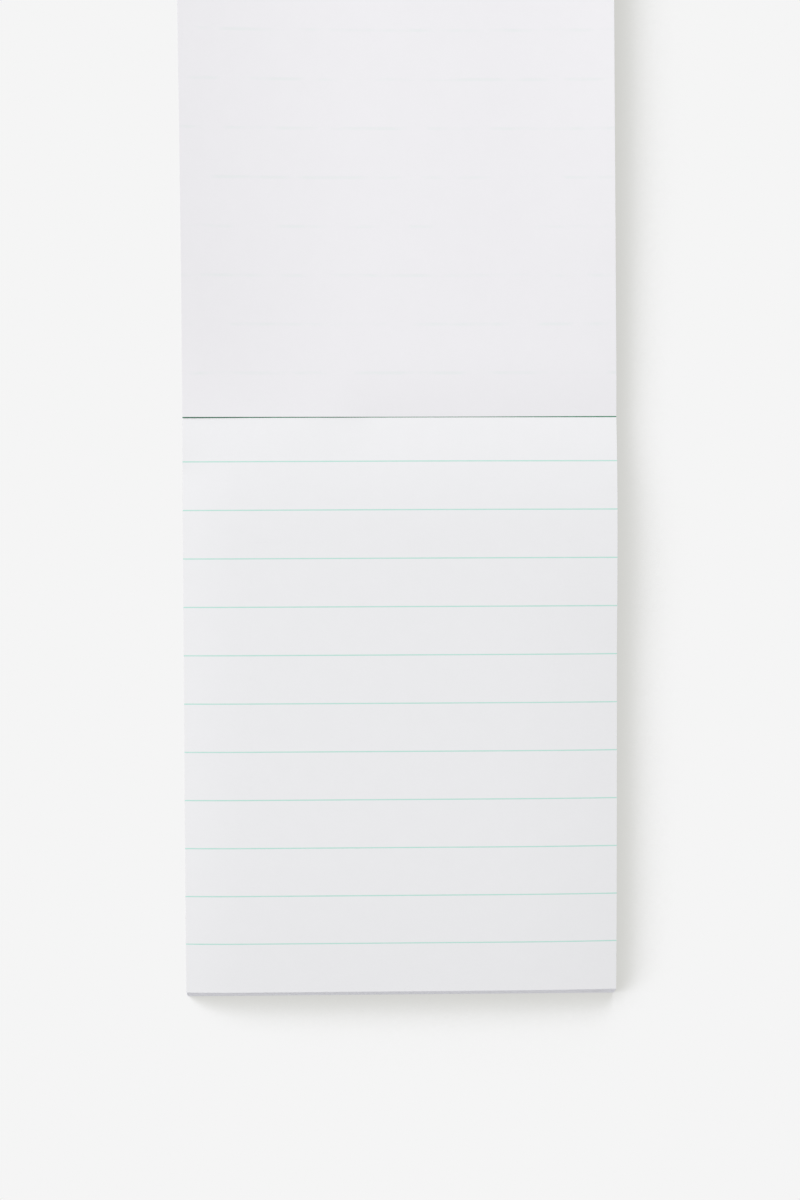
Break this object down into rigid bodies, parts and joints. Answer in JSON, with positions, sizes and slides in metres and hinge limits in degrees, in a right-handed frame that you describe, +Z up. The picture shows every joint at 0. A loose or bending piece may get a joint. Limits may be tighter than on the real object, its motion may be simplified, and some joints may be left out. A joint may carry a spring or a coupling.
{
  "type": "small top-bound legal pad, open",
  "caption": "Small ruled pad glued at the head, lying open: a block of ruled sheets on a chipboard back, with a stack of sheets turned over a green taped crease.",
  "frame": {"origin": "bottom centre of the whole open pad, on the table", "axes": "+Z up, X across the sheets, +Y from the foot of the ruled page over the crease to the turned sheets"},
  "size_m": [0.0768, 0.2054, 0.0061],
  "materials": {
    "chipboard": "matte grey-brown pressed pulp board",
    "paper": "smooth uncoated white writing paper",
    "paper_back": "plain back of the writing paper",
    "tape": "matte green woven binding tape",
    "ink": "thin pale mint print"
  },
  "bodies": {
    "root": {"backing_board": "chipboard", "page_block": "paper", "turned_sheets": "paper_back", "binding_tape": "tape", "page_rules": "ink", "turned_rules": "ink"}
  },
  "joints": []
}
